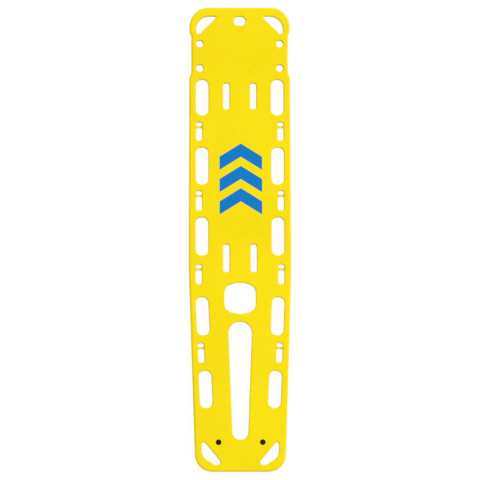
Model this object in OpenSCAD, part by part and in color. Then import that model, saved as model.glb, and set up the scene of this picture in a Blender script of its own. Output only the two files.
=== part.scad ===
// Full-length spine board for lifting and carrying a patient.
// Two moulded plastic skins are welded at a parting plane around a foam core with two stiffener
// tubes. Strap pins cross the side slots, and two push-in plugs close the foam filling ports.
// X runs across the board, Y runs along it with the head end at +Y, and Z = 0 is the floor.

/* [Board] */
// Length from the head edge to the foot edge
board_l = 1830; // [1810:5:1860]
// Width across the head pad
head_w = 394.5; // [390.5:0.5:398.5]
// Width across the neck, just below the head pad
neck_w = 380; // [376:1:384]
// Width across the shoulders
shoulder_w = 397; // [393:1:401]
// Width at the hips, the widest place
hip_w = 404; // [402:0.2:408]
// Width at the foot edge, before its corners are rounded
foot_w = 354.5; // [350.5:0.5:360.5]
// Thickness from the underside to the deck, without the runners
body_t = 36; // [34:0.5:40]
// Radius of the two corners at the head end
head_corner_r = 75; // [70:1:80]
// Radius of the two corners at the foot end
foot_corner_r = 69; // [65:1:73]

/* [Skins] */
// Wall thickness of both skins
skin_t = 4; // [3.5:0.1:4.5]
// Radius of the rounded outer rim
rim_r = 8; // [6:0.5:9]
// Depth of the bevel around each opening
mouth = 3; // [2:0.5:3.5]
// Height of the two runners under the board
runner_h = 9; // [7:0.5:11]
// Width of a runner where it meets the floor
runner_w = 28; // [26:0.5:29]
// Length of a runner where it meets the floor
runner_l = 1400; // [1340:10:1410]

/* [Hand-holds] */
// Length of a side hand-hold at the hips, where it is longest
hold_l = 150.5; // [146:0.5:153]
// Width of a side hand-hold
hold_w = 50.5; // [48:0.5:51.5]
// Distance from the head edge to the corner hand-holds there
head_rail = 34; // [32:0.5:36]
// Distance from the foot edge to the corner hand-holds there
foot_rail = 27.5; // [26:0.5:29.5]
// Width of the oval hanging hole at the head end
hang_w = 47; // [42:1:50]
// Length of the oval hanging hole at the head end
hang_l = 37; // [35:0.5:38]

/* [Strap openings] */
// Length of a side slot at the waist, where it is longest
slot_l = 78; // [75:0.5:80]
// Width of a side slot
slot_w = 25; // [24:0.2:27]
// Diameter of a strap pin
pin_d = 7; // [6:0.5:8]
// Distance from a side slot's head end to its pin
pin_inset = 19.5; // [17:0.5:22]
// Length of a centre strap slot at the hips, where it is longest
centre_slot_l = 109; // [103:1:112]
// Width of a centre strap slot
centre_slot_w = 25.4; // [23:0.2:26.6]
// Diameter of the four round holes beside the head
head_hole_d = 28; // [25:0.5:30]

/* [Middle cut-outs] */
// Width of the centre hole
centre_hole_w = 125; // [123:0.5:128]
// Length of the centre hole
centre_hole_l = 123.5; // [120:0.5:126]
// Radius of the leg slot's head end
leg_head_r = 46; // [43:0.5:47]
// Radius of the leg slot's foot end
leg_foot_r = 31.5; // [29:0.5:33]
// Length of the leg slot
leg_l = 465; // [450:1:470]

/* [Hardware] */
// Outer diameter of a stiffener tube
tube_d = 16; // [14:0.5:18]
// Wall thickness of a stiffener tube
tube_wall = 1.5; // [1.2:0.1:2]
// Length of a stiffener tube
tube_l = 1480; // [1440:10:1500]
// Diameter of a port plug's head
plug_d = 22; // [20:0.5:24]
// Thickness of a port plug's head
plug_head_t = 3; // [2.5:0.1:3.5]
// Length of a port plug's stem
plug_stem_l = 20; // [18:0.5:21]

/* [Hidden] */
$fn = 48;

// Sides of the board, as the sign of X
left = -1;
right = 1;

// Ends of the board, and where its outline changes direction
head_y = board_l / 2;
foot_y = -board_l / 2;
head_step_y = head_y - 95;
neck_top_y = head_y - 112;
neck_foot_y = head_y - 253;
shoulder_y = head_y - 281;
hip_y = -117;
neck_lap = 40;
step_r = 30;
hip_r = 3000;

// Heights of the underside, the parting plane and the deck
under_z = runner_h;
top_z = runner_h + body_t;
part_z = under_z + body_t / 2;

// How finely round stretches are drawn, and how far a cutter runs past a face
arc_step = 12;
rim_steps = 3;
past = 1;

// Side hand-holds and side slots from head to foot, on the right-hand side.
// Each is [x, y, shorter], where shorter is how far it falls short of the longest one.
holds = [[148, 560, 9.5], [149, 290, 3.5], [150, 12, 0], [148, -302.5, 0], [136.7, -590.7, 3.5]];
slots = [[160.5, 426, 4.5], [161.5, 153, 0], [162.7, -137.5, 0], [154.5, -447, 1]];
chest = slots[0];
waist = slots[1];
thigh = slots[2];
knee = slots[3];

// Centre strap slots in the same form, and round head holes as [x, y]
centre_slots = [[53, 565, 6], [54, -74, 0]];
head_holes = [[157.5, head_y - 143], [157.5, head_y - 239]];
hang_y = head_y - 53;

// Angle at which the side openings below the hips lean in towards the feet
low_lean = 2.5;

// Corner hand-holds are triangles beside a rounded outer corner, with legs along the two edges.
// Their radii are at the outer corner and at the tips across and along the board.
head_hold_x = 171.5;
head_hold_leg = [85, 84];
head_hold_r = [51, 5, 10];
foot_hold_x = 153;
foot_hold_leg = [86, 104.5];
foot_hold_r = [48, 10, 9];

// The foot hand-hold's outer corner sits higher than its toe, and the edge between them dips at a waist
foot_hold_rise = 23;
toe_l = 36.5;
toe_r = 12;
toe_waist = [15, 11];

// The centre hole has straight sides and crowned ends
centre_hole_y = -231.6;
crown_r = 100;
crown_angle = 24;
crown_y = centre_hole_l / 2 + crown_r * (1 / cos(crown_angle) - 1);
crown_side_y = crown_y - centre_hole_w / 2 * tan(crown_angle);
crown_corner_r = 34;

// The leg slot's sides run straight from one round end to the other, and each end has a short flat
leg_flat = 1;
leg_head_y = -324;
leg_foot_y = leg_head_y - leg_l;
leg_lean = asin((leg_head_r - leg_foot_r) / (leg_l - leg_head_r - leg_foot_r));
leg_head_x = leg_head_r * tan(45 + leg_lean / 2) + leg_flat / 2;
leg_foot_x = leg_foot_r * tan(45 - leg_lean / 2) + leg_flat / 2;

// Runners and the stiffener tubes above them
runner_x = 88;
runner_draft = 3;
cap_flange_t = 3;
cap_spigot_l = 14;

// Clearances: foam to skin, a pin in its seat, a plug in its port
foam_gap = 0.2;
seat_gap = 0.05;
plug_gap = 0.05;
plug_head_gap = 0.1;

// Pins run through the slot wall and a little way into the foam
pin_root_l = 6;
pin_l = slot_w + 2 * (skin_t + pin_root_l);

// Port plugs, their ribs and the collars around their ports
plug_x = 87;
plug_y = foot_y + 116;
rib_d = 12;
stem_d = 10.4;
rib_t = 1.6;
rib_count = 4;
collar_d = 28;
plug_seat_z = top_z - plug_head_t;
stem_foot_z = plug_seat_z - plug_stem_l;

// Deck print: a row of chevrons that point to the head end
print_t = 0.4;
print_x = 3;
print_y = 238;
print_w = 168;
print_l = 280;
chevron_count = 3;
chevron_t = 52;
chevron_rise = 52;
chevron_pitch = (print_l - chevron_rise - chevron_t) / (chevron_count - 1);

yellow = [0.98, 0.88, 0.02];
pin_yellow = [0.9, 0.76, 0.12];
blue = [0.02, 0.49, 0.73];
black = [0.14, 0.1, 0.09];
cream = [0.93, 0.89, 0.76];
grey = [0.35, 0.37, 0.38];

// Outlines are lists of corners [x, y, radius], walked anticlockwise

// Direction of the edge that leaves corner i
function edge_way(c, i) =
    let (a = c[i], b = c[(i + 1) % len(c)], d = [b.x - a.x, b.y - a.y])
    d / norm(d);

// Points of corner i, rounded, after every edge has moved inward by inset
function corner_points(c, i, inset) =
    let (
        before = edge_way(c, (i + len(c) - 1) % len(c)),
        after = edge_way(c, i),
        in_before = [-before.y, before.x],
        in_after = [-after.y, after.x],
        corner = [c[i].x, c[i].y] + inset * (in_before + in_after) / (1 + in_before * in_after),
        bend = acos(before * after),
        r = c[i][2] - inset,
        centre = corner - before * r * tan(bend / 2) + in_before * r,
        steps = max(2, ceil(bend / arc_step))
    )
    c[i][2] <= 0 || r <= 0
        ? [corner]
        : [for (k = [0 : steps])
            let (a = bend * k / steps)
            centre - r * (in_before * cos(a) - before * sin(a))];

// The whole outline as points
function rounded(c, inset = 0) = [for (i = [0 : len(c) - 1]) each corner_points(c, i, inset)];

// Adds the mirror image of a right-hand side that runs from foot to head
function both_sides(c) =
    concat(c, [for (i = [len(c) - 1 : -1 : 0]) if (c[i].x > 0) [-c[i].x, c[i].y, c[i][2]]]);

// The outline is three overlapping plates: body, neck and head pad
body_plan = both_sides([
    [foot_w / 2, foot_y, foot_corner_r],
    [hip_w / 2, hip_y, hip_r],
    [shoulder_w / 2, shoulder_y, step_r],
    [neck_w / 2, neck_foot_y, 0]
]);
neck_plan = both_sides([
    [neck_w / 2, shoulder_y - neck_lap, 0],
    [neck_w / 2, head_step_y + neck_lap, 0]
]);
head_plan = both_sides([
    [neck_w / 2, neck_top_y, 0],
    [head_w / 2, head_step_y, step_r],
    [head_w / 2, head_y, head_corner_r]
]);
plans = [body_plan, neck_plan, head_plan];

// Openings that aren't a plain circle or slot
head_hold_y = head_y - head_rail;
head_hold = [
    [head_hold_x, head_hold_y, head_hold_r[0]],
    [head_hold_x - head_hold_leg.x, head_hold_y, head_hold_r[1]],
    [head_hold_x, head_hold_y - head_hold_leg.y, head_hold_r[2]]
];
toe_y = foot_y + foot_rail;
toe_x = foot_hold_x - foot_hold_leg.x;
foot_hold = [
    [foot_hold_x, toe_y + foot_hold_leg.y, foot_hold_r[2]],
    [toe_x, toe_y, foot_hold_r[1]],
    [toe_x + toe_l, toe_y, toe_r],
    [toe_x + toe_l + toe_waist.x, toe_y + toe_waist.y, 0],
    [foot_hold_x, toe_y + foot_hold_rise, foot_hold_r[0]]
];
corner_holds = [head_hold, foot_hold];
centre_hole = both_sides([
    [0, centre_hole_y - crown_y, crown_r],
    [centre_hole_w / 2, centre_hole_y - crown_side_y, crown_corner_r],
    [centre_hole_w / 2, centre_hole_y + crown_side_y, crown_corner_r],
    [0, centre_hole_y + crown_y, crown_r]
]);
leg_slot = both_sides([
    [leg_foot_x, leg_foot_y, leg_foot_r],
    [leg_head_x, leg_head_y, leg_head_r]
]);

// Puts its children on both sides of the board
module both() {
    for (m = [0, 1]) mirror([m, 0, 0]) children();
}

// Puts its children at a place on the right-hand side, leaning in below the hips
module beside_edge(place) {
    translate([place.x, place.y]) rotate(place.y < hip_y - slot_l ? -low_lean : 0) children();
}

// Flat slot with round ends along Y
module slot(length, width) {
    square([width, length - width], center = true);
    for (s = [-1, 1]) translate([0, s * (length - width) / 2]) circle(d = width);
}

// Slot that widens by spread from its foot at z = 0 to its top at z = height
module flared_slot(length, width, height, spread) {
    straight = length - width;
    rotate([90, 0, 0])
        linear_extrude(straight, center = true)
            polygon([
                [-width / 2, 0], [width / 2, 0],
                [width / 2 + spread, height], [-width / 2 - spread, height]
            ]);
    for (s = [-1, 1])
        translate([0, s * straight / 2, 0])
            cylinder(h = height, d1 = width, d2 = width + 2 * spread);
}

// Bevel cutter for an opening given as corners, widening at 45 degrees from z = 0 to z = height
module flared_outline(c, height) {
    inner = rounded(c);
    outer = rounded(c, -height);
    n = len(inner);
    polyhedron(
        points = concat(
            [for (p = inner) [p.x, p.y, 0]],
            [for (p = outer) [p.x, p.y, height]]
        ),
        faces = concat(
            [[for (i = [0 : n - 1]) i]],
            [[for (i = [2 * n - 1 : -1 : n]) i]],
            [for (i = [0 : n - 1]) [i, i + n, (i + 1) % n + n, (i + 1) % n]]
        )
    );
}

// Every opening through the board, drawn flat and grown by a margin
module openings(grow) {
    both() {
        for (p = holds) beside_edge(p) slot(hold_l - p.z + 2 * grow, hold_w + 2 * grow);
        for (p = slots) beside_edge(p) slot(slot_l - p.z + 2 * grow, slot_w + 2 * grow);
        for (p = centre_slots)
            translate([p.x, p.y]) slot(centre_slot_l - p.z + 2 * grow, centre_slot_w + 2 * grow);
        for (p = head_holes) translate(p) circle(d = head_hole_d + 2 * grow);
        for (c = corner_holds) polygon(rounded(c, -grow));
    }
    translate([0, hang_y]) rotate(90) slot(hang_w + 2 * grow, hang_l + 2 * grow);
    polygon(rounded(centre_hole, -grow));
    polygon(rounded(leg_slot, -grow));
}

// Bevels around every opening where it meets a face at z = 0 that looks along +Z
module mouths() {
    cut = mouth + past;
    translate([0, 0, -mouth]) {
        both() {
            for (p = holds) beside_edge(p) flared_slot(hold_l - p.z, hold_w, cut, cut);
            for (p = slots) beside_edge(p) flared_slot(slot_l - p.z, slot_w, cut, cut);
            for (p = centre_slots)
                translate([p.x, p.y]) flared_slot(centre_slot_l - p.z, centre_slot_w, cut, cut);
            for (p = head_holes)
                translate(p) cylinder(h = cut, d1 = head_hole_d, d2 = head_hole_d + 2 * cut);
            for (c = corner_holds) flared_outline(c, cut);
        }
        translate([0, hang_y]) rotate(90) flared_slot(hang_w, hang_l, cut, cut);
        flared_outline(centre_hole, cut);
        flared_outline(leg_slot, cut);
    }
}

// Solid half of the board above the parting plane at z = 0, with its upper rim rounded
module half_board(height) {
    for (c = plans)
        hull()
            for (k = [0 : rim_steps])
                let (a = 90 * k / rim_steps)
                linear_extrude(height - rim_r * (1 - sin(a))) polygon(rounded(c, rim_r * (1 - cos(a))));
}

// Plan of the space between the walls, leaving a wall of the given thickness everywhere
module interior(wall) {
    difference() {
        for (c = plans) polygon(rounded(c, wall));
        openings(wall);
    }
}

// Strap pin, or with a gap the seat around it, in the middle of the board's thickness
module strap_pin(place, gap = 0) {
    translate([0, 0, part_z])
        beside_edge(place)
            translate([0, (slot_l - place.z) / 2 - pin_inset, 0])
                rotate([0, 90, 0]) cylinder(h = pin_l + 2 * gap, d = pin_d + 2 * gap, center = true);
}

// Seats of all the strap pins
module pin_seats() {
    both() for (p = slots) strap_pin(p, seat_gap);
}

// Printed design, drawn flat
module print_design() {
    half = print_w / 2;
    for (k = [0 : chevron_count - 1])
        translate([print_x, print_y - print_l / 2 + k * chevron_pitch])
            polygon([
                [-half, 0], [0, chevron_rise], [half, 0],
                [half, chevron_t], [0, chevron_rise + chevron_t], [-half, chevron_t]
            ]);
}

// Upper skin: the deck, the upper half of the rim and of every opening's wall, and the port collars
module deck_skin() {
    color(yellow) difference() {
        union() {
            difference() {
                translate([0, 0, part_z]) half_board(top_z - part_z);
                translate([0, 0, part_z - past])
                    linear_extrude(top_z - skin_t - part_z + past) interior(skin_t);
            }
            both()
                translate([plug_x, plug_y, part_z])
                    cylinder(h = top_z - skin_t / 2 - part_z, d = collar_d);
        }
        translate([0, 0, part_z - past]) linear_extrude(top_z - part_z + 2 * past) openings(0);
        translate([0, 0, top_z]) mouths();
        both() translate([plug_x, plug_y, 0]) {
            translate([0, 0, part_z - past]) cylinder(h = top_z, d = rib_d + 2 * plug_gap);
            translate([0, 0, plug_seat_z - plug_head_gap])
                cylinder(h = plug_head_t + plug_head_gap + past, d = plug_d + 2 * plug_head_gap);
        }
        pin_seats();
        translate([0, 0, top_z - print_t]) linear_extrude(print_t + past) print_design();
    }
}

// Lower skin: the underside, the lower half of the rim and of every opening's wall, and the runners
module base_skin() {
    floor_z = under_z + skin_t;
    color(yellow) difference() {
        union() {
            translate([0, 0, part_z]) mirror([0, 0, 1]) half_board(part_z - under_z);
            both()
                translate([runner_x, 0, 0])
                    flared_slot(runner_l, runner_w, under_z + skin_t / 2, runner_draft);
        }
        translate([0, 0, floor_z]) linear_extrude(part_z - floor_z + past) interior(skin_t);
        both() translate([runner_x, 0, skin_t]) linear_extrude(floor_z) runner_space(skin_t);
        translate([0, 0, under_z - past]) linear_extrude(part_z - under_z + 2 * past) openings(0);
        translate([0, 0, under_z]) mirror([0, 0, 1]) mouths();
        pin_seats();
    }
}

// Plan of the space inside a runner, leaving a wall of the given thickness
module runner_space(wall) {
    slot(runner_l - 2 * wall, runner_w - 2 * wall);
}

// Closed-cell foam that fills the space between the skins
module foam_core() {
    wall = skin_t + foam_gap;
    bottom = under_z + wall;
    tube_room_l = tube_l + 2 * (cap_flange_t + foam_gap);
    color(cream) difference() {
        union() {
            translate([0, 0, bottom]) linear_extrude(top_z - wall - bottom) interior(wall);
            both() translate([runner_x, 0, wall]) linear_extrude(bottom) runner_space(wall);
        }
        both() {
            translate([runner_x, 0, part_z])
                rotate([90, 0, 0])
                    cylinder(h = tube_room_l, d = tube_d + 2 * foam_gap, center = true);
            translate([plug_x, plug_y, part_z - foam_gap]) cylinder(h = top_z, d = collar_d + 2 * foam_gap);
            translate([plug_x, plug_y, stem_foot_z - foam_gap]) cylinder(h = top_z, d = rib_d + 2 * foam_gap);
            for (p = slots) strap_pin(p, foam_gap);
        }
    }
}

// Blue graphic moulded flush into the deck
module deck_print() {
    color(blue) translate([0, 0, top_z - print_t]) linear_extrude(print_t) print_design();
}

// Tube in the foam above a runner, which stiffens the board along its length
module stiffener_tube(side) {
    color(grey)
        translate([side * runner_x, 0, part_z])
            rotate([90, 0, 0])
                linear_extrude(tube_l, center = true)
                    difference() {
                        circle(d = tube_d);
                        circle(d = tube_d - 2 * tube_wall);
                    }
}

// Push-in cap that keeps the foam out of a tube's end; way is 1 at the head end and -1 at the foot end
module tube_cap(side, way) {
    color(black)
        translate([side * runner_x, way * tube_l / 2, part_z])
            rotate([-90 * way, 0, 0]) {
                cylinder(h = cap_flange_t, d = tube_d);
                translate([0, 0, -cap_spigot_l])
                    cylinder(h = cap_spigot_l + cap_flange_t / 2, d = tube_d - 2 * tube_wall - 2 * seat_gap);
            }
}

// Strap pin of one side slot
module side_pin(side, place) {
    color(pin_yellow) mirror([side < 0 ? 1 : 0, 0, 0]) strap_pin(place);
}

// Push-in plug with a flat head flush with the deck and a ribbed stem in the port
module port_plug(side) {
    rib_pitch = (plug_stem_l - rib_t) / rib_count;
    color(black) translate([side * plug_x, plug_y, 0]) {
        translate([0, 0, plug_seat_z]) cylinder(h = plug_head_t, d = plug_d);
        translate([0, 0, stem_foot_z]) cylinder(h = plug_stem_l + plug_head_t / 2, d = stem_d);
        for (k = [0 : rib_count - 1])
            translate([0, 0, stem_foot_z + k * rib_pitch]) cylinder(h = rib_t, d = rib_d);
    }
}

deck_skin();
base_skin();
foam_core();
deck_print();
stiffener_tube(left);  // left_stiffener_tube
stiffener_tube(right);  // right_stiffener_tube
tube_cap(left, 1);  // left_tube_head_cap
tube_cap(left, -1);  // left_tube_foot_cap
tube_cap(right, 1);  // right_tube_head_cap
tube_cap(right, -1);  // right_tube_foot_cap
side_pin(left, chest);  // left_chest_pin
side_pin(left, waist);  // left_waist_pin
side_pin(left, thigh);  // left_thigh_pin
side_pin(left, knee);  // left_knee_pin
side_pin(right, chest);  // right_chest_pin
side_pin(right, waist);  // right_waist_pin
side_pin(right, thigh);  // right_thigh_pin
side_pin(right, knee);  // right_knee_pin
port_plug(left);  // left_port_plug
port_plug(right);  // right_port_plug
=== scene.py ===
import math

import bmesh
import bpy
from mathutils import Matrix, Vector


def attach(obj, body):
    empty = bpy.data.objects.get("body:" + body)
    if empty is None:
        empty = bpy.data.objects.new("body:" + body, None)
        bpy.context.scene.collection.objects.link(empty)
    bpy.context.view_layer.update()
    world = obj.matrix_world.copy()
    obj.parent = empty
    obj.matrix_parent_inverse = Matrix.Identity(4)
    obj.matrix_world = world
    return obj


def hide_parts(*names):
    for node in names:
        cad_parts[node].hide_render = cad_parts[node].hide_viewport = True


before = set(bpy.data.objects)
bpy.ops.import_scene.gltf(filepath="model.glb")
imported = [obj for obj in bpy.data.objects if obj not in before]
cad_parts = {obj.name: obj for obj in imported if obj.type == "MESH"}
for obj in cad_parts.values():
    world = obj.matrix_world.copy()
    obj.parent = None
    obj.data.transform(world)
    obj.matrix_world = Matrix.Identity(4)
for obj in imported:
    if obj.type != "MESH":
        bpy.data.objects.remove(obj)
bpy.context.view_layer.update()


# Lower skin: half of the hollow shell, moulded in yellow polyethylene with a 4 mm wall.
# It carries the underside, the lower half of every opening and two runners that slide on the
# floor, and it is welded to the upper half at the parting plane. Sizes are in millimetres.
MM = 0.001
UNDERSIDE_Z, DECK_Z = 9.0, 45.0
HALF_T = (DECK_Z - UNDERSIDE_Z) / 2
WALL_T = 4.0
RIM_R, LOWER_MOUTH_R = 8.0, 3.0
HOLD_W, HOLD_R = 50.5, 23.0
SLOT_W, SLOT_R = 25.0, 10.0
CENTRE_SLOT_W, CENTRE_SLOT_R = 25.4, 9.5
HEAD_HOLE_R = 14.0
LOW_LEAN = 2.5
# A flat strip beside each rounding, the groove at the parting plane, and the fall of nearly level faces
LAND_W = 0.5
SEAM_W, SEAM_D = 0.6, 0.4
SLOPE = 0.02
# Degrees in one step of an arc, the sides of a circle, the bend that shades as an edge, and the
# distance in metres at which points are welded
ARC_STEP, CIRCLE_SIDES = 6.0, 60
SHARP_ANGLE = math.radians(38)
WELD_DISTANCE = 1e-6


def mirrored(corners):
    """The same outline on the other side of the board."""
    return [(-x, y, r) for x, y, r in reversed(corners)]


def both_sides(right):
    """Closes a right-hand run of corners, from foot to head, with its mirror image."""
    return right + mirrored([corner for corner in right if corner[0] > 0])


def slot_corners(x, y, length, width, radius, lean=0.0):
    """Corners of a slot along the board, which may lean in towards the feet."""
    turn = Matrix.Rotation(math.radians(-lean), 2)
    w, l = width / 2, length / 2
    corners = [Vector((x, y)) + turn @ Vector(p) for p in ((w, -l), (w, l), (-w, l), (-w, -l))]
    return [(p.x, p.y, radius) for p in corners]


# An outline is a list of corners as (x, y, radius), anticlockwise from above
board_edge = both_sides([
    (177.25, -915, 69), (202, -117, 3000), (198.5, 634, 30), (190, 662, 30),
    (190, 803, 30), (197.25, 820, 30), (197.25, 915, 75),
])
hand_holds = [
    slot_corners(148, 560, 141, HOLD_W, HOLD_R),
    slot_corners(149, 290, 147, HOLD_W, HOLD_R),
    slot_corners(150, 12, 150.5, HOLD_W, HOLD_R),
    slot_corners(148, -302.5, 150.5, HOLD_W, HOLD_R, LOW_LEAN),
    slot_corners(136.7, -590.7, 147, HOLD_W, HOLD_R, LOW_LEAN),
]
strap_slots = [
    slot_corners(160.5, 426, 73.5, SLOT_W, SLOT_R),
    slot_corners(161.5, 153, 78, SLOT_W, SLOT_R),
    slot_corners(162.7, -137.5, 78, SLOT_W, SLOT_R),
    slot_corners(154.5, -447, 77, SLOT_W, SLOT_R, LOW_LEAN),
]
centre_slots = [
    slot_corners(53, 565, 103, CENTRE_SLOT_W, CENTRE_SLOT_R),
    slot_corners(54, -74, 109, CENTRE_SLOT_W, CENTRE_SLOT_R),
]
head_corner_hold = [(171.5, 881, 51), (86.5, 881, 5), (171.5, 797, 10)]
foot_corner_hold = [
    (153, -783, 9), (67, -887.5, 10), (103.5, -887.5, 12), (118.5, -876.5, 8), (153, -864.5, 48),
]
head_holes = [[(157.5, y, HEAD_HOLE_R)] for y in (772, 676)]
hanging_hole = slot_corners(0, 862, length=37, width=47, radius=17.7)
centre_hole = both_sides([
    (0, -302.81, 100), (62.5, -274.99, 34), (62.5, -188.21, 34), (0, -160.39, 100),
])
leg_slot = both_sides([(30.84, -789, 31.5), (48.25, -324, 46)])
right_openings = [
    *hand_holds, *strap_slots, *centre_slots, head_corner_hold, foot_corner_hold, *head_holes,
]
openings = [
    *right_openings, *[mirrored(corners) for corners in right_openings],
    hanging_hole, centre_hole, leg_slot,
]


def trace(bm, corners, inset, z):
    """Draws an outline, moved inward, as one loop of edges. One corner alone is a circle."""
    if len(corners) == 1:
        x, y, radius = corners[0]
        place = Matrix.Translation((x, y, z))
        circle = bmesh.ops.create_circle(bm, segments=CIRCLE_SIDES, radius=radius - inset, matrix=place)
        start = circle["verts"][0]
    else:
        ends = []
        for i, (x, y, radius) in enumerate(corners):
            here = Vector((x, y))
            a = (here - Vector(corners[i - 1][:2])).normalized()
            b = (Vector(corners[(i + 1) % len(corners)][:2]) - here).normalized()
            bend = math.atan2(a.cross(b), a.dot(b))
            in_a, in_b = Vector((-a.y, a.x)), Vector((-b.y, b.x))
            here += inset * (in_a + in_b) / (1 + in_a.dot(in_b))
            r = radius - inset * math.copysign(1, bend) if radius else 0
            begin = here - a * r * math.tan(abs(bend) / 2)
            centre = begin + in_a * math.copysign(r, bend)
            first = last = bm.verts.new((begin.x, begin.y, z))
            if r:
                steps = max(3, round(math.degrees(abs(bend)) / ARC_STEP))
                spun = bmesh.ops.spin(bm, geom=[first], cent=(centre.x, centre.y, z), axis=(0, 0, 1),
                                      angle=bend, steps=steps)
                last = next(g for g in spun["geom_last"] if isinstance(g, bmesh.types.BMVert))
            ends.append((first, last))
        for (_, last), (first, _) in zip(ends, ends[1:] + ends[:1]):
            bm.edges.new((last, first))
        start = ends[0][0]
    edges, vert = [start.link_edges[0]], start.link_edges[0].other_vert(start)
    while vert is not start:
        edges.append(next(e for e in vert.link_edges if e is not edges[-1]))
        vert = edges[-1].other_vert(vert)
    return edges


def wall_path(radius):
    """A wall from a face to the inside, as (distance into the plastic, depth below the face)."""
    arc = [math.radians(a) for a in (3, 15, 30, 45, 60, 75, 90)]
    return [
        (radius + LAND_W, 0),
        *[(radius * (1 - math.sin(a)), radius * (1 - math.cos(a))) for a in arc],
        (0, HALF_T - SEAM_W), (SEAM_D, HALF_T), (WALL_T, HALF_T - SLOPE), (WALL_T, WALL_T),
    ]


def raise_wall(skin, corners, path, into, height):
    """Lays one loop for each step of a path, bridges them, and joins the wall to the skin.

    The plastic lies inside the rim (into is 1) and outside an opening (into is -1)."""
    part = bmesh.new()
    loops = [trace(part, corners, into * offset, height(depth)) for offset, depth in path]
    for a, b in zip(loops, loops[1:]):
        bmesh.ops.bridge_loops(part, edges=a + b)
    mesh = bpy.data.meshes.new("wall")
    part.to_mesh(mesh)
    part.free()
    skin.from_mesh(mesh)
    bpy.data.meshes.remove(mesh)


def to_metres(bm):
    """Brings a mesh drawn in millimetres to the frame's metres."""
    bmesh.ops.scale(bm, vec=(MM, MM, MM), verts=bm.verts)


def moulded_half(height, mouth_r, extra_walls):
    """One half of the shell: the rim, every opening's wall and further walls, with its flats closed."""
    skin = bmesh.new()
    raise_wall(skin, board_edge, wall_path(RIM_R), 1, height)
    for corners in openings:
        raise_wall(skin, corners, wall_path(mouth_r), -1, height)
    for corners, path in extra_walls:
        raise_wall(skin, corners, path, -1, height)
    to_metres(skin)
    # Open edges at one height, to a hundredth of a millimetre, bound one flat
    flats = {}
    for edge in skin.edges:
        if edge.is_boundary:
            level = round(edge.verts[0].co.z, 5)
            flats.setdefault(level, []).append(edge)
    for edges in flats.values():
        bmesh.ops.triangle_fill(skin, use_beauty=True, edges=edges, normal=(0, 0, 1))
    return skin


def add_object(name, data):
    """Puts new data into the scene as an object."""
    made = bpy.data.objects.new(name, data)
    bpy.context.scene.collection.objects.link(made)
    return made


def make_piece(name, bm, material, slot, *nodes):
    """Turns a finished mesh into a piece that stands for its CAD nodes."""
    bmesh.ops.remove_doubles(bm, verts=bm.verts, dist=WELD_DISTANCE)
    bmesh.ops.recalc_face_normals(bm, faces=bm.faces)
    for face in bm.faces:
        face.smooth = True
    for edge in bm.edges:
        edge.smooth = edge.calc_face_angle(0) < SHARP_ANGLE
    mesh = bpy.data.meshes.new(name)
    bm.to_mesh(mesh)
    bm.free()
    mesh.materials.append(material)
    piece = add_object(name, mesh)
    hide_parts(*nodes)
    return piece


class Socket:
    """A socket of a node tree. An expression on sockets and numbers adds Math nodes."""

    def __init__(self, tree, output=None):
        self.tree = tree
        self.output = output

    def node(self, kind, settings=None, inputs=None, output=0):
        """Adds a node, sets it up, and gives one of its outputs."""
        made = self.tree.nodes.new(kind)
        for name, value in (settings or {}).items():
            setattr(made, name, value)
        for name, value in (inputs or {}).items():
            if isinstance(value, Socket):
                self.tree.links.new(value.output, made.inputs[name])
            else:
                made.inputs[name].default_value = value
        return Socket(self.tree, made.outputs[output] if made.outputs else None)

    def maths(self, operation, a, b):
        """One Math node on two values."""
        return self.node("ShaderNodeMath", {"operation": operation}, {0: a, 1: b})

    def __add__(self, other):
        return self.maths("ADD", self, other)

    def __radd__(self, other):
        return self.maths("ADD", other, self)

    def __sub__(self, other):
        return self.maths("SUBTRACT", self, other)

    def __rsub__(self, other):
        return self.maths("SUBTRACT", other, self)

    def __mul__(self, other):
        return self.maths("MULTIPLY", self, other)

    def __rmul__(self, other):
        return self.maths("MULTIPLY", other, self)

    def between(self, low, high):
        """0 below low, 1 above high, and a smooth rise between."""
        return self.node("ShaderNodeMapRange", {"interpolation_type": "SMOOTHSTEP"},
                         {"Value": self, "From Min": low, "From Max": high})

    def tint(self, a, b):
        """Mixes two colours by this factor."""
        return self.node("ShaderNodeMix", {"data_type": "RGBA"}, {0: self, 6: a, 7: b}, 2)

    def grain(self, scale, detail=2.0, stretch=(1, 1, 1)):
        """Noise on these coordinates, in cells per metre, each axis times its own factor."""
        place = self.node("ShaderNodeMapping", {}, {"Vector": self, "Scale": stretch})
        return self.node("ShaderNodeTexNoise", {}, {"Vector": place, "Scale": scale, "Detail": detail})


def new_finish(name):
    """A new material, with the object's own coordinates to start from."""
    material = bpy.data.materials.new(name)
    material.use_nodes = True
    material.node_tree.nodes.clear()
    return material, Socket(material.node_tree).node("ShaderNodeTexCoord", output="Object")


def end_finish(start, colour, roughness, height, lift, fixed):
    """Ends a material in one shader. The bump's height runs from 0 to 1 and its lift is in metres."""
    bump = start.node("ShaderNodeBump", {}, {"Distance": lift, "Height": height})
    shader = start.node("ShaderNodeBsdfPrincipled", {}, {
        "Base Color": colour, "Roughness": roughness, "Normal": bump, **fixed})
    start.node("ShaderNodeOutputMaterial", {}, {"Surface": shader})


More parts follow.
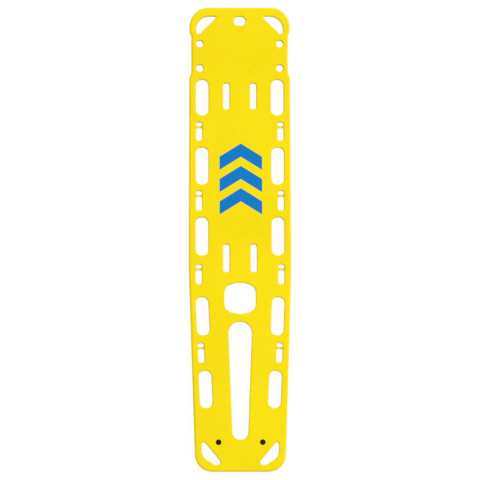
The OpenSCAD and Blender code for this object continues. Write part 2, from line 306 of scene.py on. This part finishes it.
def moulded_yellow():
    """Satin polyethylene: a pebbled mould grain over a slight orange peel, with painted shade
    in the grain's pits, and faint rubbing along the board and on the runners' soles."""
    material, place = new_finish("moulded_yellow")
    cloud = place.grain(3.0, 1.0)
    mottle = place.grain(55.0, 3.0)
    peel = place.grain(140.0, 1.0)
    pebble = place.grain(620.0, 1.5)
    pit = 1 - pebble.between(0.36, 0.56)
    scratch = place.grain(1.0, 2.0, (700, 14, 700)).between(0.66, 0.74)
    patch = place.grain(7.0, 2.0).between(0.5, 0.72)
    height = place.node("ShaderNodeSeparateXYZ", {}, {"Vector": place}, "Z")
    sole = (1 - height.between(0.0, 0.004)) * mottle.between(0.35, 0.6)
    rub = scratch * patch * 0.35 + sole * 0.3
    even = (cloud * 0.6 + mottle * 0.4).between(0.3, 0.7)
    clean = even.tint((0.93, 0.72, 0.0, 1), (0.985, 0.785, 0.0, 1))
    # Painted shade: the colour darkens in the pits of the pebble grain
    pit_shaded = (pit * 0.3).tint(clean, (0.82, 0.6, 0.0, 1))
    colour = rub.tint(pit_shaded, (0.93, 0.77, 0.16, 1))
    roughness = 0.36 + pit * 0.12 + mottle * 0.1 + rub * 0.25
    relief = pebble * 0.5 + peel * 0.5 - rub * 0.1
    end_finish(place, colour, roughness, relief, 0.0003, {"Specular IOR Level": 0.08})
    return material


RUNNER_X, RUNNER_L, RUNNER_W, RUNNER_CORNER_R = 88.0, 1400.0, 28.0, 12.0
right_runner = slot_corners(RUNNER_X, 0, RUNNER_L, RUNNER_W, RUNNER_CORNER_R)
# A fillet at the root, a sloped side and a rounded sole: depths are negative where a runner stands out
runner_sides = [
    (3.2, 0), (2.95, -0.12), (2.75, -0.45), (2.55, -1), (0.7, -7), (0.25, -8.1), (-0.6, -8.8),
    (-2, SLOPE - UNDERSIDE_Z), (-3, -UNDERSIDE_Z),
]
runner_hollow = [(-WALL_T, WALL_T), (-WALL_T, WALL_T - UNDERSIDE_Z)]
lower_walls = []
for runner in (right_runner, mirrored(right_runner)):
    lower_walls += [(runner, runner_sides), (runner, runner_hollow)]
yellow = moulded_yellow()
lower_shell = moulded_half(lambda depth: UNDERSIDE_Z + depth, LOWER_MOUTH_R, lower_walls)
lower_skin = make_piece("lower_skin", lower_shell, yellow, "board_plastic", "base_skin")
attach(lower_skin, "board")


# Stiffener tubes: two pultruded glass-fibre tubes, 16 mm across, that lie in the foam over the
# runners. Push-in caps of black plastic keep the rising foam out of their ends.
def pultruded_grey():
    """Dark resin with pale fibres drawn along the tube."""
    material, place = new_finish("pultruded_grey")
    fibre = place.grain(1.0, 3.0, (1500, 9, 1500))
    cloud = place.grain(30.0, 2.0)
    streak = fibre.between(0.45, 0.72) * (0.6 + cloud * 0.4)
    colour = streak.tint((0.028, 0.03, 0.033, 1), (0.15, 0.155, 0.15, 1))
    end_finish(place, colour, 0.36 + fibre * 0.25, fibre, 0.00004, {})
    return material


def cap_black():
    """Black injection-moulded plastic with a fine spark-eroded grain."""
    material, place = new_finish("cap_black")
    spark = place.grain(1600.0, 2.0)
    cloud = place.grain(60.0, 2.0)
    colour = cloud.tint((0.014, 0.014, 0.015, 1), (0.026, 0.026, 0.027, 1))
    end_finish(place, colour, 0.45 + spark * 0.2, spark, 0.00003, {})
    return material


def dress(node, finish):
    """Gives its finish to a piece that keeps its CAD mesh."""
    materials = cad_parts[node].data.materials
    materials.clear()
    materials.append(finish)


tube_finish, cap_finish = pultruded_grey(), cap_black()
for side in ("left", "right"):
    dress(f"{side}_stiffener_tube", tube_finish)
    for end in ("head", "foot"):
        dress(f"{side}_tube_{end}_cap", cap_finish)


# Foam core: closed-cell polyurethane, poured through the ports at the foot end.
# It fills the shell round the tubes and makes the board stiff and buoyant.
def foam_cream():
    """Cream foam with cells about a millimetre wide, painted shade on the cell floors, and slow flow
    marks.
    """
    material, place = new_finish("foam_cream")
    cell = place.node("ShaderNodeTexVoronoi", {"feature": "DISTANCE_TO_EDGE"},
                      {"Vector": place, "Scale": 800.0})
    open_cell = cell.between(0.02, 0.22)
    flow = place.grain(9.0, 3.0, (1, 0.35, 1))
    cell_wall = flow.tint((0.86, 0.79, 0.58, 1), (0.9, 0.85, 0.68, 1))
    # Painted shade: the cell floors, down in the cells' hollows, are darker than the cell walls
    shaded_cell_floor = flow.tint((0.72, 0.62, 0.4, 1), (0.8, 0.72, 0.5, 1))
    colour = open_cell.tint(cell_wall, shaded_cell_floor)
    end_finish(place, colour, 0.8 + flow * 0.15, 1 - open_cell, 0.0003, {"Specular IOR Level": 0.2})
    return material


dress("foam_core", foam_cream())


# Strap pins: round bars of tough yellow nylon, laid across the side slots at mid-thickness.
# The welded skins grip their ends, and each root flares out in a fillet against the slot's wall.
PIN_R, PIN_HALF_L, PIN_SIDES = 3.5, 22.5, 32
FILLET_R, FLANGE_T = 8.5, 0.9
PIN_Z = UNDERSIDE_Z + HALF_T
slot_wall = SLOT_W / 2
half_pin = []
for angle in range(0, 91, 15):
    a = math.radians(angle)
    half_pin.append((slot_wall - FILLET_R * (1 - math.sin(a)), PIN_R + FILLET_R * (1 - math.cos(a))))
half_pin += [
    (slot_wall + FLANGE_T, PIN_R + FILLET_R), (slot_wall + FLANGE_T, PIN_R),
    (PIN_HALF_L, PIN_R), (PIN_HALF_L, 0),
]
pin_profile = [(-along, radius) for along, radius in reversed(half_pin)] + half_pin
# The right-hand pins' places as (x, y, lean)
pin_places = {
    "chest": (160.5, 443.3, 0), "waist": (161.5, 172.5, 0),
    "thigh": (162.7, -118.0, 0), "knee": (155.33, -428.02, LOW_LEAN),
}


def turned(profile, axis, sides):
    """Spins a profile of (along, radius) once round an axis."""
    bm = bmesh.new()
    across = Vector((0, 0, 1)) if axis.z == 0 else Vector((1, 0, 0))
    verts = [bm.verts.new(axis * along + across * radius) for along, radius in profile]
    edges = [bm.edges.new(pair) for pair in zip(verts, verts[1:])]
    bmesh.ops.spin(bm, geom=verts + edges, cent=(0, 0, 0), axis=axis, angle=math.tau,
                   steps=sides, use_merge=True)
    return bm


def pin_yellow():
    """Nylon a shade paler than the shell, with turning lines round the bar and a soft polish."""
    material, place = new_finish("pin_yellow")
    ring = place.grain(1.0, 2.0, (1400, 60, 60))
    cloud = place.grain(90.0, 2.0)
    colour = cloud.tint((0.94, 0.83, 0.0, 1), (0.98, 0.88, 0.0, 1))
    end_finish(place, colour, 0.32 + ring * 0.14, ring, 0.00003, {"Specular IOR Level": 0.25})
    return material


pin_finish = pin_yellow()
for side, way in (("left", -1), ("right", 1)):
    for name, (x, y, lean) in pin_places.items():
        bar = turned(pin_profile, Vector((1, 0, 0)), PIN_SIDES)
        turn = Matrix.Rotation(math.radians(-way * lean), 3, "Z")
        bmesh.ops.rotate(bar, verts=bar.verts, cent=(0, 0, 0), matrix=turn)
        bmesh.ops.translate(bar, verts=bar.verts, vec=(way * x, y, PIN_Z))
        to_metres(bar)
        pin = make_piece(f"{side}_{name}_bar", bar, pin_finish, "pin_plastic", f"{side}_{name}_pin")
        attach(pin, "board")


# Upper skin: the other half of the shell, with the smooth deck that the patient lies on.
# Two ports at its foot end, 12 mm wide under a recess, took the foam and are closed by plugs,
# and shallow pockets in the deck hold the moulded-in print.
UPPER_MOUTH_R = 4.0
PORT_X, PORT_Y = 87.0, -799.0
RECESS_R, RECESS_D = 11.1, 3.1
# The port's bore and the outside of its collar, measured outwards from the recess's wall
BORE, COLLAR = -5.05, 2.9
port_path = [
    (1, 0), (0.5, SLOPE), (0.15, 0.15), (0, 0.5), (0, RECESS_D),
    (BORE, RECESS_D + SLOPE), (BORE, HALF_T), (COLLAR, HALF_T - SLOPE), (COLLAR, WALL_T),
]
PRINT_X, PRINT_FOOT_Y, PRINT_T = 3.0, 98.0, 0.4
CHEVRON_COUNT, CHEVRON_PITCH = 3, 88.0
CHEVRON_HALF_W, CHEVRON_RISE, CHEVRON_T = 84.0, 52.0, 52.0
upper_walls = [([(way * PORT_X, PORT_Y, RECESS_R)], port_path) for way in (-1, 1)]
for k in range(CHEVRON_COUNT):
    foot_y = PRINT_FOOT_Y + k * CHEVRON_PITCH
    foot_edge = [(-CHEVRON_HALF_W, foot_y), (0, foot_y + CHEVRON_RISE), (CHEVRON_HALF_W, foot_y)]
    chevron = foot_edge + [(x, y + CHEVRON_T) for x, y in reversed(foot_edge)]
    upper_walls.append(([(PRINT_X + x, y, 0) for x, y in chevron], [(0, 0), (0, PRINT_T)]))
upper_shell = moulded_half(lambda depth: DECK_Z - depth, UPPER_MOUTH_R, upper_walls)
upper_skin = make_piece("upper_skin", upper_shell, yellow, "board_plastic", "deck_skin")
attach(upper_skin, "board")


# Deck print: a row of plain chevrons that point to the head end, in blue printed film.
# The film is moulded into the upper skin, so that it lies flush in the deck.
def print_blue():
    """Blue film that took on the deck's mould grain, with a faint screen of dots, thin places in
    the ink, and painted shade in the grain's pits."""
    material, place = new_finish("print_blue")
    screen = place.node("ShaderNodeTexVoronoi", {}, {"Vector": place, "Scale": 900.0, "Randomness": 0.15})
    dot = screen.between(0.25, 0.6)
    cloud = place.grain(25.0, 2.0)
    pebble = place.grain(620.0, 1.5)
    # The ink's own dots and thin places, and painted shade: darker ink in the pits of the pebble grain
    ink_and_pit_shade = dot * 0.3 + cloud * 0.5 - pebble.between(0.36, 0.56) * 0.2
    colour = ink_and_pit_shade.tint((0.0015, 0.215, 0.615, 1), (0.0003, 0.155, 0.485, 1))
    end_finish(place, colour, 0.34 + cloud * 0.12, pebble, 0.00012, {"Specular IOR Level": 0.08})
    return material


dress("deck_print", print_blue())


# Port plugs: black rubber plugs pushed into the foam ports, flush with the deck.
# A dished head fills the recess, and four ribs on the stem grip the port. Each is turned from
# one outline, and pulls straight up out of its port.
STEM_R, RIB_R, HEAD_R, PLUG_SIDES = 5.2, 6.0, 11.0, 56
STEM_FOOT, HEAD_FOOT, DISH = -23.0, -3.0, -0.5
# The outline from the stem's foot to the middle of the head, as (height over the deck, radius)
plug_profile = [(STEM_FOOT, 0), (STEM_FOOT, STEM_R - 0.6), (STEM_FOOT + 0.6, STEM_R)]
for rib_foot in (-22.4, -18.4, -13.8, -9.2):
    plug_profile += [
        (rib_foot + 0.2, STEM_R + 0.1), (rib_foot + 1.6, RIB_R),
        (rib_foot + 2.0, RIB_R - 0.1), (rib_foot + 2.2, STEM_R),
    ]
plug_profile += [
    (HEAD_FOOT - 0.6, STEM_R), (HEAD_FOOT, STEM_R + 0.5), (HEAD_FOOT, HEAD_R - 0.8),
    (HEAD_FOOT + 0.3, HEAD_R - 0.2), (HEAD_FOOT + 0.6, HEAD_R), (-0.8, HEAD_R),
    (-0.35, HEAD_R - 0.15), (-0.08, HEAD_R - 0.5), (0, HEAD_R - 1.0),
    (0, 8.4), (-0.1, 7.9), (-0.35, 7.4), (DISH, 6.6), (DISH, 0),
]


def plug_rubber():
    """Near-black rubber with a dull skin, a little dust and a fine grain."""
    material, place = new_finish("plug_rubber")
    skin_grain = place.grain(1300.0, 3.0)
    dust = place.grain(160.0, 3.0).between(0.5, 0.75)
    colour = (dust * 0.5).tint((0.009, 0.0035, 0.0026, 1), (0.018, 0.012, 0.01, 1))
    end_finish(place, colour, 0.58 + skin_grain * 0.2, skin_grain, 0.00005, {"Specular IOR Level": 0.1})
    return material


rubber = plug_rubber()
for side, way in (("left", -1), ("right", 1)):
    body = turned(plug_profile, Vector((0, 0, 1)), PLUG_SIDES)
    bmesh.ops.translate(body, verts=body.verts, vec=(way * PORT_X, PORT_Y, DECK_Z))
    to_metres(body)
    plug = make_piece(f"{side}_plug_body", body, rubber, "plug_rubber", f"{side}_port_plug")
    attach(plug, f"{side}_plug")


# Studio: a pale floor that shows white to the camera and keeps a faint shadow, even light from
# all round, and a broad key light from the upper right. The camera looks down on the deck, a
# little from the left and from the foot end. Its sizes are in metres.
def is_seen(start):
    """1 for rays from the camera, a reflection or a clear piece, which see the white surround."""
    seen = 0
    for ray in ("Is Camera Ray", "Is Glossy Ray", "Is Transmission Ray"):
        seen = start.node("ShaderNodeLightPath", output=ray) + seen
    return seen.between(0, 1)


FLOOR_HALF, FLOOR_Z, FLOOR_GLOW = 8.0, -0.0004, 0.925
floor_mesh = bmesh.new()
bmesh.ops.create_grid(floor_mesh, x_segments=1, y_segments=1, size=FLOOR_HALF)
bmesh.ops.translate(floor_mesh, verts=floor_mesh.verts, vec=(0, 0, FLOOR_Z))
floor_data = bpy.data.meshes.new("floor")
floor_mesh.to_mesh(floor_data)
floor_mesh.free()
floor = add_object("floor", floor_data)
floor_finish, start = new_finish("pale_floor")
glow = start.node("ShaderNodeEmission", {}, {"Color": (1, 1, 1, 1), "Strength": FLOOR_GLOW})
shadow = start.node("ShaderNodeBsdfDiffuse", {}, {"Color": (0.09, 0.09, 0.09, 1)})
white = start.node("ShaderNodeAddShader", {}, {0: glow, 1: shadow})
pale = start.node("ShaderNodeBsdfDiffuse", {}, {"Color": (0.8, 0.8, 0.8, 1)})
mixed = start.node("ShaderNodeMixShader", {}, {0: is_seen(start), 1: pale, 2: white})
start.node("ShaderNodeOutputMaterial", {}, {"Surface": mixed})
floor_data.materials.append(floor_finish)

world = bpy.data.worlds.new("studio")
world.use_nodes = True
world.node_tree.nodes.clear()
sky = Socket(world.node_tree)
surround = is_seen(sky).tint((0.52, 0.52, 0.52, 1), (1, 1, 1, 1))
backdrop = sky.node("ShaderNodeBackground", {}, {"Color": surround})
sky.node("ShaderNodeOutputWorld", {}, {"Surface": backdrop})
bpy.context.scene.world = world

KEY_FROM = Vector((0.55, 0.5, 1.0))
key = bpy.data.lights.new("key", "SUN")
key.energy = 1.9
key.angle = math.radians(100)
key_lamp = add_object("key", key)
key_lamp.rotation_mode = "QUATERNION"
key_lamp.rotation_quaternion = KEY_FROM.to_track_quat("Z", "Y")

VIEW_DISTANCE, VIEW_WIDTH = 30.0, 1.8907
VIEW_LEAN = math.radians(2.5)
VIEW_ROLL = 0.0023
aim = Vector((-0.0008, -0.0026, DECK_Z * MM))
back = Vector((-math.tan(VIEW_LEAN), -math.tan(VIEW_LEAN), 1)).normalized()
camera_data = bpy.data.cameras.new("camera")
camera_data.sensor_width = 36.0
camera_data.lens = camera_data.sensor_width * VIEW_DISTANCE / VIEW_WIDTH
camera = add_object("camera", camera_data)
camera.rotation_mode = "QUATERNION"
camera.location = aim + back * VIEW_DISTANCE
across = Vector((VIEW_ROLL, 1, 0)).cross(back).normalized()
camera.rotation_quaternion = Matrix((across, back.cross(across), back)).transposed().to_quaternion()
bpy.context.scene.camera = camera
bpy.context.scene.view_settings.view_transform = "Standard"
